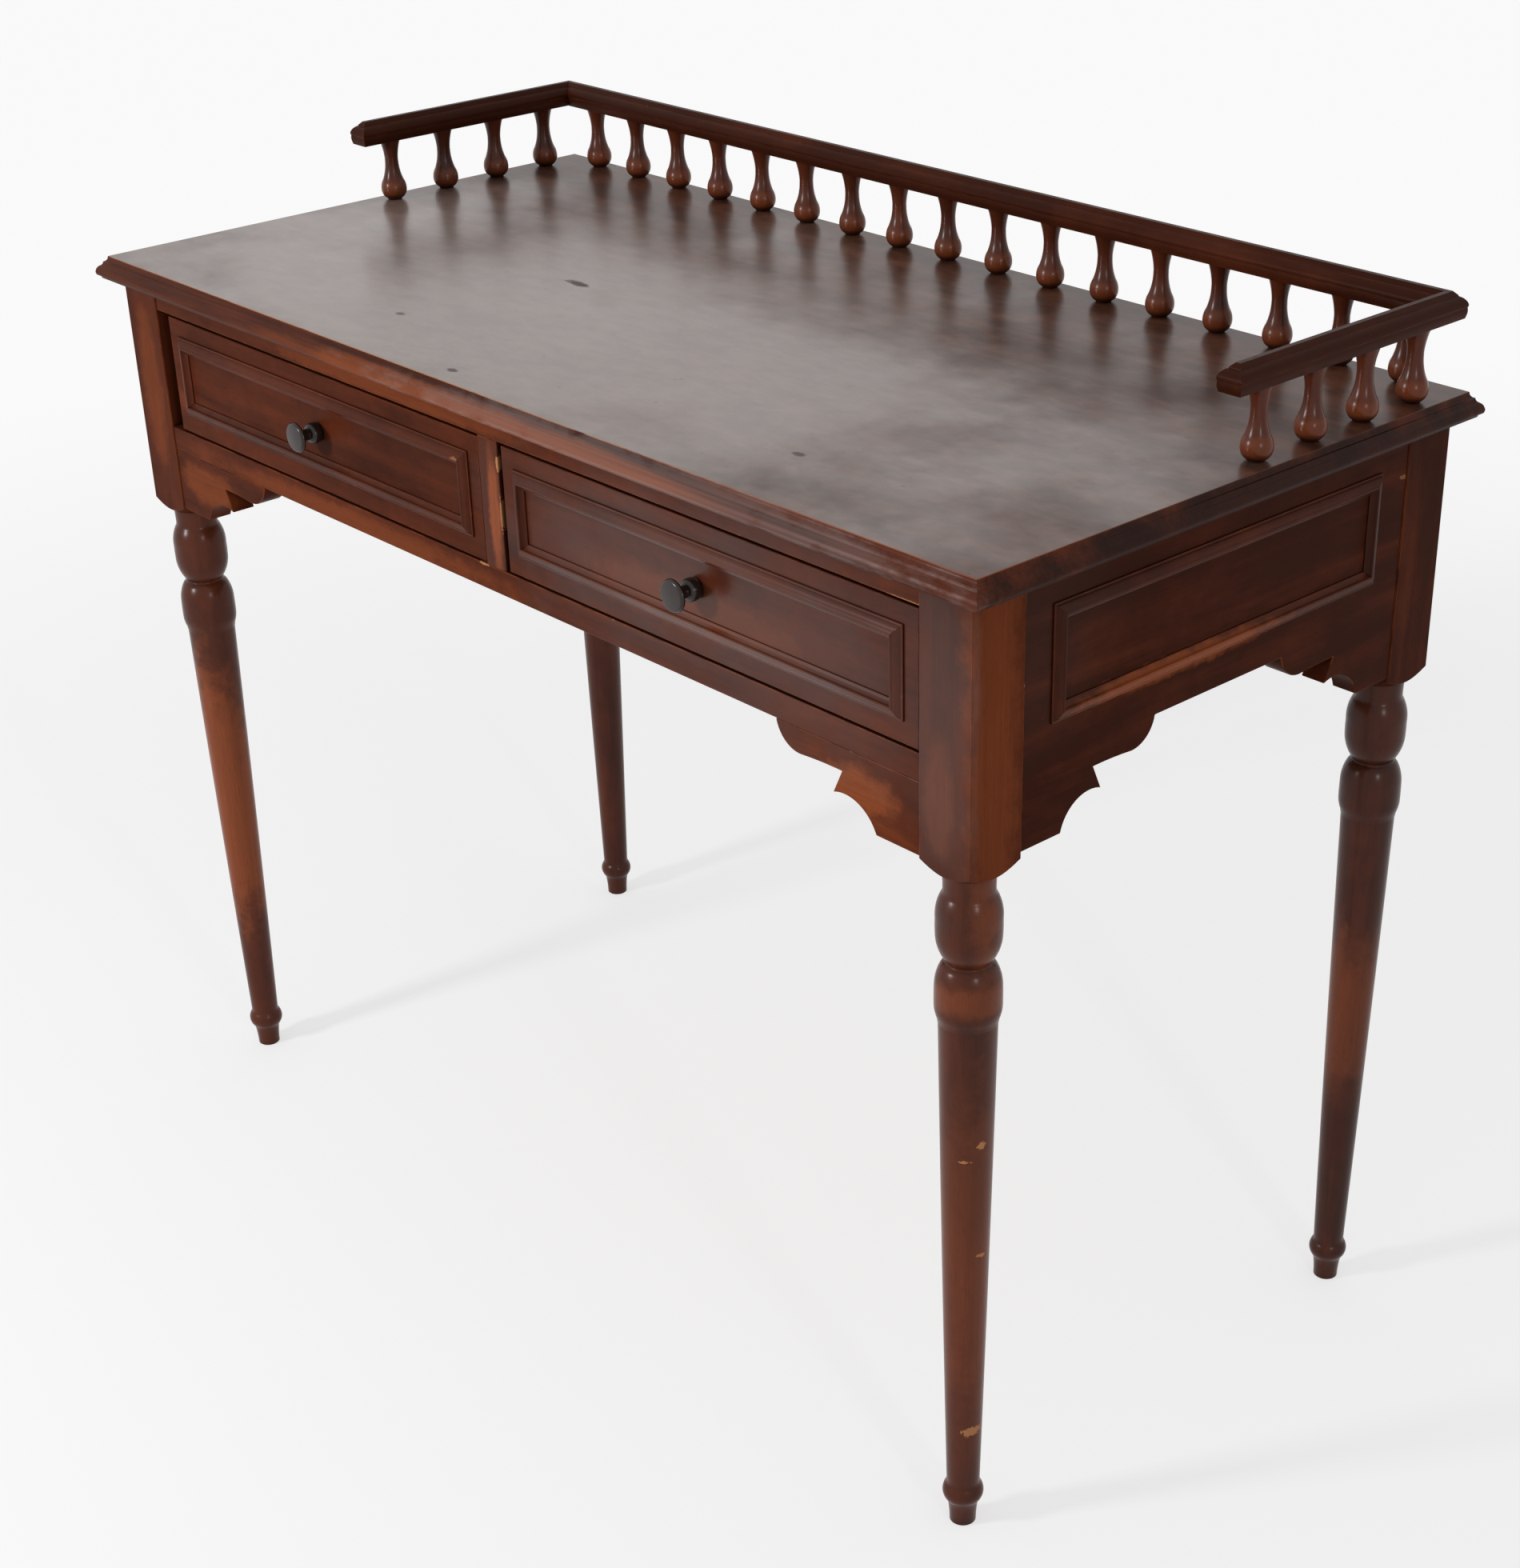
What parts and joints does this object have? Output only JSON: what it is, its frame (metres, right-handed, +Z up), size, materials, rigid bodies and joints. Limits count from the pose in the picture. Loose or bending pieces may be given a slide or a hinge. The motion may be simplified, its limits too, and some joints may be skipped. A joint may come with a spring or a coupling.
{
  "type": "sewing desk",
  "caption": "Small writing and sewing desk in stained wood with turned legs, a pair of moulded drawers with turned knobs and a spindle gallery round the back of its top.",
  "frame": {"origin": "on the floor under the middle of the bounding box", "axes": "+Z up, the drawers face -Y, +X to the right of someone sitting at the desk"},
  "size_m": [1.0072, 0.506, 0.8195],
  "materials": {
    "stained_wood": "worn satin varnish",
    "moulding_wood": "worn satin varnish",
    "gallery_wood": "worn satin varnish",
    "top_wood": "hazed satin varnish",
    "ebonised_wood": "black, satin",
    "drawer_wood": "bare, planed"
  },
  "bodies": {
    "frame": {"back_board": "stained_wood", "drawer_divider": "stained_wood", "drawer_guide_centre": "drawer_wood", "drawer_guide_left": "drawer_wood", "drawer_guide_right": "drawer_wood", "drawer_kicker_centre": "drawer_wood", "drawer_kicker_left": "drawer_wood", "drawer_kicker_right": "drawer_wood", "drawer_runner_centre": "drawer_wood", "drawer_runner_left": "drawer_wood", "drawer_runner_right": "drawer_wood", "drawer_stops": "drawer_wood", "front_bracket_left": "stained_wood", "front_bracket_right": "stained_wood", "front_lower_rail": "stained_wood", "front_top_rail": "stained_wood", "gallery_rail_back": "gallery_wood", "gallery_rail_left": "gallery_wood", "gallery_rail_right": "gallery_wood", "gallery_spindles_back": "gallery_wood", "gallery_spindles_left": "gallery_wood", "gallery_spindles_right": "gallery_wood", "glue_blocks": "drawer_wood", "leg_back_left": "stained_wood", "leg_back_right": "stained_wood", "leg_front_left": "stained_wood", "leg_front_right": "stained_wood", "side_apron_left": "stained_wood", "side_apron_right": "stained_wood", "side_moulding_left_back": "moulding_wood", "side_moulding_left_bottom": "moulding_wood", "side_moulding_left_front": "moulding_wood", "side_moulding_left_top": "moulding_wood", "side_moulding_right_back": "moulding_wood", "side_moulding_right_bottom": "moulding_wood", "side_moulding_right_front": "moulding_wood", "side_moulding_right_top": "moulding_wood", "top_board": "top_wood"},
    "drawer_left": {"drawer_left_back": "drawer_wood", "drawer_left_bottom": "drawer_wood", "drawer_left_front": "stained_wood", "drawer_left_knob": "ebonised_wood", "drawer_left_moulding_bottom": "moulding_wood", "drawer_left_moulding_left": "moulding_wood", "drawer_left_moulding_right": "moulding_wood", "drawer_left_moulding_top": "moulding_wood", "drawer_left_side_left": "drawer_wood", "drawer_left_side_right": "drawer_wood"},
    "drawer_right": {"drawer_right_back": "drawer_wood", "drawer_right_bottom": "drawer_wood", "drawer_right_front": "stained_wood", "drawer_right_knob": "ebonised_wood", "drawer_right_moulding_bottom": "moulding_wood", "drawer_right_moulding_left": "moulding_wood", "drawer_right_moulding_right": "moulding_wood", "drawer_right_moulding_top": "moulding_wood", "drawer_right_side_left": "drawer_wood", "drawer_right_side_right": "drawer_wood"}
  },
  "joints": [
    {"name": "drawer_left_slide", "type": "slide", "parent": "frame", "child": "drawer_left", "axis": [0, -1, 0], "range_m": [0, 0.3]},
    {"name": "drawer_right_slide", "type": "slide", "parent": "frame", "child": "drawer_right", "axis": [0, -1, 0], "range_m": [0, 0.3]}
  ]
}
